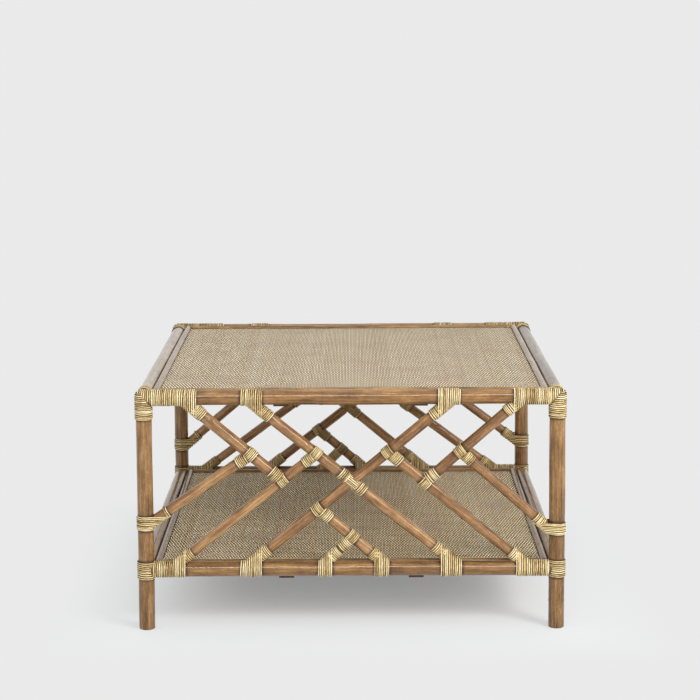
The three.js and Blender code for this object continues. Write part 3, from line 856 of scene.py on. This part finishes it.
def build_crossing(prefix, axes):
    """Two bands round the main diagonal, either side of the crossing, and strands along it between them."""
    centre = axes[crossing_halves[0]][1]
    start, direction, radius = host_of(axes[crossing_name])
    middle_place = (centre - start) @ direction
    parts = crossing_patch(centre, direction, radius, patch_length / 2 + patch_overlap)
    around = unit(np.cross(direction, BACK))
    for sign in (-1, 1):
        inner = middle_place + sign * patch_length / 2
        low, high = sorted((inner, inner + sign * band_length))
        parts.append(wound(start, direction, around, radius, low, high, math.pi / 2))
    add_piece(f"{prefix}_crossing_binding", gather(parts), peels[prefix], "binding")


def build_panel(prefix, lines, y):
    """Legs, rails and lattice of the front or the back."""
    axes = axes_of_panel(lines, y)
    edges = bound_edges_of_panel(prefix, axes)
    for side in ("left", "right"):
        build_leg(prefix, side, axes[f"{side}_leg"], edges[f"{side}_leg"])
    legs = [host_of(axes[side]) for side in ("left_leg", "right_leg")]
    for level, skin in rail_skins.items():
        rail = f"{level}_rail"
        part = pole(*axes[rail], legs[:1], legs[1:], bound_edges=edges[rail])
        add_piece(f"{prefix}_{rail}_cane", part, skin, "pole", f"{prefix}_{rail}")
    for name, plan in lattice_plan.items():
        starts_on, ends_on = ([host_of(axes[host])] for host in plan["hosts"])
        part = pole(*axes[name], starts_on, ends_on, bound_edges=edges[name], tone=plan["tone"])
        add_piece(f"{prefix}_{name}_cane", part, lattice_skin, "lattice_pole", f"{prefix}_{name}")
        bindings = []
        for member, at_start, host, sizes in joints_of_panel(prefix):
            if member == name:
                bindings += joint_binding(axes[name], at_start, axes[host], **sizes)
        add_piece(f"{prefix}_{name}_bindings", gather(bindings), peels[prefix], "binding")
    build_crossing(prefix, axes)


# Corners
side_wrap = 26 * MM
shoulder_from = 4 * MM
shoulder_end = 12 * MM
shoulder_bend = 75.0
cap_half_angle = math.radians(42)
mitre_low = -15.5 * MM
mitre_high = 8 * MM
leg_clearance = 0.1 * MM
leg_seat = leg_radius + strand_thickness * 0.52
rail_seat = rail_radius + strand_thickness * 0.75
rail_bottom = -(rail_radius + 2 * MM)
first_turn_out = leg_radius + 1.5 * MM
widest_turn = math.radians(172)
arc_dive_steps = 2.2
arc_dive_share = 0.8


def shoulder(distance):
    """How far the corner's strands draw in past the start of its rounded shoulder."""
    return shoulder_bend * np.maximum(distance - shoulder_from, 0) ** 2


def arc_strand(centre, first, second, radius, low_angle, high_angle):
    """Part of a turn in the plane of two directions, sunk at both ends."""
    count = max(int((high_angle - low_angle) / (2 * math.pi) * strand_steps) + 1, 6)
    angle = np.linspace(low_angle, high_angle, count)
    normal = np.cos(angle)[:, None] * first + np.sin(angle)[:, None] * second
    sink = dived(count, arc_dive_steps) * strand_thickness * arc_dive_share
    path = centre + normal * (radius - sink)[:, None]
    return strand(path, normal, np.full(count, rng.uniform()))


def mitre_place(rise):
    """How far out from the leg's axis the mitre lies at this height over the rail's axis."""
    return np.interp(rise, (-rail_radius, rail_radius), (mitre_low, mitre_high))


def mitre_rise(out):
    return np.interp(out, (mitre_low, mitre_high), (-rail_radius, rail_radius))


def build_top_corner(prefix, side_name, sign_x, y, sign_y):
    """Turns round the leg and over the rail's end, which meet on a mitre, and a few across the leg's top."""
    outer = ACROSS * sign_x
    depth = BACK * sign_y
    axis = np.array([sign_x * leg_x, y, 0.0])
    rail_axis = axis + UP * top_rail_z
    leg_wrap = leg_radius + leg_clearance
    parts = [
        wound(axis, UP, outer, leg_wrap, corner_low_z, top_rail_z + rail_bottom, -math.pi / 2),
        wound(rail_axis, -depth, UP, rail_radius, leg_lead, leg_radius + side_wrap, -math.pi / 2),
    ]
    for rise in np.arange(rail_bottom, shoulder_end, strand_pitch):
        radius = leg_seat - shoulder(rise)
        limit = min(math.acos(mitre_place(rise) / radius), widest_turn)
        parts.append(arc_strand(axis + UP * (top_rail_z + rise), outer, depth, radius, -limit, limit))
    for out in np.arange(-first_turn_out, mitre_high, strand_pitch):
        radius = rail_seat - shoulder(out)
        start = math.asin(max(mitre_rise(out) / rail_seat, -1.0))
        parts.append(arc_strand(rail_axis + outer * out, depth, UP, radius, start, math.pi - start))
    cap_span = (math.pi / 2 - cap_half_angle, math.pi / 2 + cap_half_angle)
    for out in np.arange(mitre_high + strand_pitch / 2, shoulder_end, strand_pitch):
        parts.append(arc_strand(rail_axis + outer * out, depth, UP, rail_seat - shoulder(out), *cap_span))
    name = f"{prefix}_upper_{side_name}_corner"
    add_piece(f"{name}_binding", gather(parts), peels[prefix], "binding", f"{name}_winding")


def build_low_corner(prefix, side_name, sign_x, y):
    """Turns round the leg at the shelf rail."""
    axis = np.array([sign_x * leg_x, y, 0.0])
    part = wound(axis, UP, ACROSS * sign_x, leg_radius + leg_clearance, *low_corner_span, -math.pi / 2)
    name = f"{prefix}_lower_{side_name}_corner"
    add_piece(f"{name}_binding", part, peels[prefix], "binding", f"{name}_winding")


def build_leg(prefix, side_name, axis, edges):
    part = pole(
        axis[0], axis[1] - UP * leg_top_drop, leg_radius, start_rounding=foot_rounding,
        end_rounding=leg_top_rounding, bound_edges=edges, tone=leg_tones_darker_at_foot[side_name],
    )
    add_piece(f"{prefix}_{side_name}_leg_cane", part, leg_skin, "pole", f"{prefix}_{side_name}_leg")


def build_corners():
    for prefix, y, sign_y in (("front", -leg_y, -1), ("back", leg_y, 1)):
        for side_name, sign_x in (("left", -1), ("right", 1)):
            build_top_corner(prefix, side_name, sign_x, y, sign_y)
            build_low_corner(prefix, side_name, sign_x, y)


def build_side_rails():
    """Rails from front to back, coped to the legs and to the front and back rails."""
    for level, z in (("top", top_rail_z), ("shelf", shelf_rail_z)):
        for side_name, sign in (("left", -1), ("right", 1)):
            x = sign * leg_x
            ends = [
                [(np.array([x, y, 0.0]), UP, leg_radius), (np.array([0.0, y, z]), ACROSS, rail_radius)]
                for y in (-leg_y, leg_y)
            ]
            part = pole((x, -leg_y, z), (x, leg_y, z), rail_radius, *ends, wide=ACROSS)
            node = f"{side_name}_{level}_rail"
            add_piece(f"{node}_cane", part, side_rail_skins_painted_sheen_and_shade[level], "pole", node)


# Beads, mats, boards and battens
bead_segments = 10
wood_of = {"board": board_wood, "left_batten": batten_wood, "right_batten": batten_wood}
softened_width = 0.8 * MM
softened_from = math.radians(40)


def bead_outline(width, height):
    """Half an ellipse over a flat base, across the bead and up from it."""
    angles = np.linspace(0, math.pi, bead_segments + 1)
    return np.stack([np.cos(angles) * width / 2, np.sin(angles) * height], axis=-1)


def build_beads(level):
    """Half-round poles over the edges of a mat."""
    for side_name in ("left", "right", "front", "back"):
        node = f"{level}_{side_name}_bead"
        low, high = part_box(node)
        runs_back = side_name in ("left", "right")
        width = high.x - low.x if runs_back else high.y - low.y
        height = high.z - low.z
        centre = (low + high) / 2
        if runs_back:
            start, end, wide = (centre.x, low.y, low.z), (centre.x, high.y, low.z), -ACROSS
        else:
            start, end, wide = (low.x, centre.y, low.z), (high.x, centre.y, low.z), BACK
        outline = bead_outline(width, height) / (width / 2)
        part = pole(start, end, width / 2, outline=outline, wide=wide)
        part["points"][:, 2] = np.clip(part["points"][:, 2], low.z, high.z)
        skin = (side_bead_skins_painted_sheen_and_shade if runs_back else bead_skins)[level]
        add_piece(f"{node}_cane", part, skin, "bead", node)


def splint(line, across, width, thickness, tone, grain_shift):
    """A domed flat splint along a centre line."""
    rows = len(line)
    last = (rows - 1) * 3
    section = np.array([[-width / 2, -thickness / 2], [0, thickness / 2], [width / 2, -thickness / 2]])
    points = line[:, None] + section[None, :, :1] * across + section[None, :, 1:] * UP
    return {
        "points": points.reshape(-1, 3),
        "quads": grid_faces(rows, 3),
        "triangles": np.array([[0, 1, 2], [last, last + 2, last + 1]]),
        "values": {
            "grain": points.reshape(-1, 3) + grain_shift,
            "tone": np.full(rows * 3, tone),
            "rise": np.tile([-1.0, 1.0, -1.0], rows),
        },
    }


def warps_of_mat(half_x, half_y, first_weft, periods, middle_z):
    """Narrow splints from front to back, over one weft and under the next. The even ones go the other way."""
    along = first_weft + np.add.outer(np.arange(periods), warp_phases).ravel() * 2 * weft_pitch
    swing = np.tile(warp_swings, periods)[along < half_y]
    along = along[along < half_y]
    warp_count = int(2 * half_x / warp_pitch)
    halves = ([], [])
    for number in range(warp_count):
        x = (number + 0.5 - warp_count / 2) * warp_pitch + rng.normal(0, warp_stagger)
        side = 1 if number % 2 else -1
        line = np.stack([np.full_like(along, x), along, middle_z + side * swing * warp_swing], axis=-1)
        width = warp_width * rng.uniform(*warp_width_range)
        tone = np.clip(rng.normal(warp_tone, warp_tone_spread), 0, 1)
        halves[number % 2].append(splint(
            line, ACROSS, width, warp_thickness, tone, np.array([0, rng.uniform(0, 3), 0]),
        ))
    return halves


def build_mat(level):
    """Warps and wefts of a woven mat. The odd warps stand for the CAD mat."""
    node = slot = f"{level}_mat"
    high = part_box(node)[1]
    middle_z = high.z - warp_thickness / 2 - warp_swing
    half_x, half_y = high.x - mat_margin, high.y - mat_margin
    weft_count = int(2 * half_y / weft_pitch)
    first_weft = -weft_count * weft_pitch / 2
    odd, even = warps_of_mat(half_x, half_y, first_weft, math.ceil(weft_count / 2), middle_z)
    add_piece(f"{node}_odd_warps", gather(odd), warp_splints[level], slot, node)
    add_piece(f"{node}_even_warps", gather(even), warp_splints[level], slot)
    wefts = []
    places = np.linspace(-half_x, half_x, weft_steps)
    for number in range(weft_count):
        y = first_weft + (number + 0.5) * weft_pitch + rng.normal(0, weft_stagger)
        line = np.stack([places, np.full_like(places, y), np.full_like(places, middle_z)], axis=-1)
        wefts.append(splint(
            line, -BACK, weft_width, weft_thickness, rng.uniform(*weft_tones),
            np.array([rng.uniform(0, 3), 0, 0]),
        ))
    add_piece(f"{node}_wefts", gather(wefts), shaded_weft_splints[level], slot)


def dress_cad_wood():
    """Boards and battens keep their CAD shape, with softened edges and a wood finish."""
    for level in ("top", "shelf"):
        for name, material in wood_of.items():
            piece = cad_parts[f"{level}_{name}"]
            piece.data.materials.clear()
            piece.data.materials.append(material)
            soft = piece.modifiers.new("softened_edges", "BEVEL")
            soft.width = softened_width
            soft.segments = 2
            soft.limit_method = "ANGLE"
            soft.angle_limit = softened_from


# Studio
def grey(level):
    return level, level, level, 1


def looked_at(tree):
    """1 for the rays of the camera, of gloss and of glass, and 0 for those that only carry light."""
    rays = tree.add("LightPath").outputs
    seen = tree.math("MAXIMUM", rays["Is Camera Ray"], rays["Is Glossy Ray"])
    return tree.math("MAXIMUM", seen, rays["Is Transmission Ray"])


def build_floor():
    """A pale floor that keeps the table's shadow, lifted by a faint painted glow, and turns into the
    backdrop's grey far from it.
    """
    tree = Tree(bpy.data.materials.new("studio_floor"))
    matt = tree.add("BsdfDiffuse", Color=grey(floor_grey))
    glow = tree.add("Emission", Color=(*floor_glow_tint, 1), Strength=floor_glow)
    near = tree.add("AddShader", i0=matt.outputs[0], i1=glow.outputs[0])
    plain = tree.add("Emission", Color=grey(backdrop_grey), Strength=1.0)
    far = tree.choose(looked_at(tree), near, plain)
    place = tree.add("TexCoord").outputs["Object"]
    place = tree.add("VectorMath", {"operation": "ABSOLUTE"}, i0=place).outputs["Vector"]
    outside = tree.add("VectorMath", {"operation": "SUBTRACT"}, i0=place, i1=(leg_x, leg_y, 0))
    apart = tree.add("SeparateXYZ", i0=outside.outputs["Vector"]).outputs
    distance = tree.add("Math", {"operation": "SMOOTH_MAX"}, i0=apart["X"], i1=apart["Y"], i2=floor_corner)
    share = tree.span(distance.outputs[0], *floor_fade)
    tree.add("OutputMaterial", i0=tree.choose(share, near, far).outputs[0])
    circle = ring_outline(floor_columns)
    points = np.concatenate([
        [[0, 0, 0]], *[np.column_stack([circle * ring, np.zeros(floor_columns)]) for ring in floor_rings],
    ])
    quads = grid_faces(len(floor_rings), floor_columns)[:, ::-1] + 1
    centre = hub_faces(0, 1, floor_columns)
    mesh = bpy.data.meshes.new("studio_floor")
    mesh.from_pydata(points.tolist(), [], quads.tolist() + centre.tolist())
    mesh.materials.append(tree.owner)
    floor = bpy.data.objects.new("studio_floor", mesh)
    bpy.context.scene.collection.objects.link(floor)


def build_world():
    """Even light from all round, and the backdrop's grey where the world itself is looked at."""
    world = bpy.data.worlds.new("studio_world")
    bpy.context.scene.world = world
    tree = Tree(world)
    fill = tree.add("Background", Color=grey(1), Strength=fill_strength)
    plain = tree.add("Background", Color=grey(backdrop_grey), Strength=1.0)
    tree.add("OutputWorld", i0=tree.choose(looked_at(tree), fill, plain).outputs[0])


def build_lamp(name, place, size, power, in_gloss=True, in_matt=True):
    data = bpy.data.lights.new(name, "AREA")
    data.shape = "RECTANGLE"
    data.size, data.size_y = size
    data.energy = power
    lamp = bpy.data.objects.new(name, data)
    bpy.context.scene.collection.objects.link(lamp)
    lamp.location = place
    lamp.visible_glossy = in_gloss
    lamp.visible_diffuse = in_matt
    lamp.rotation_euler = (lamp_target - Vector(place)).to_track_quat("-Z", "Y").to_euler()


def build_camera():
    data = bpy.data.cameras.new("photo_camera")
    data.sensor_width = sensor_width
    data.lens = focal_pixels * sensor_width / photo_pixels
    data.shift_y = camera_shift
    data.clip_start, data.clip_end = camera_clip
    camera = bpy.data.objects.new("photo_camera", data)
    bpy.context.scene.collection.objects.link(camera)
    turn = Matrix.Rotation(-camera_yaw, 4, "Z") @ Matrix.Rotation(math.pi / 2 - camera_pitch, 4, "X")
    camera.matrix_world = Matrix.Translation(camera_place) @ turn @ Matrix.Rotation(camera_roll, 4, "Z")
    bpy.context.scene.camera = camera


build_camera()
build_world()
build_floor()
for lamp_name, lamp in lamps.items():
    build_lamp(lamp_name, **lamp)
bpy.context.scene.view_settings.view_transform = "Standard"

build_corners()
build_side_rails()
build_panel("front", front_lines, -leg_y)
build_panel("back", back_lines, leg_y)
for level in ("top", "shelf"):
    build_beads(level)
    build_mat(level)
dress_cad_wood()
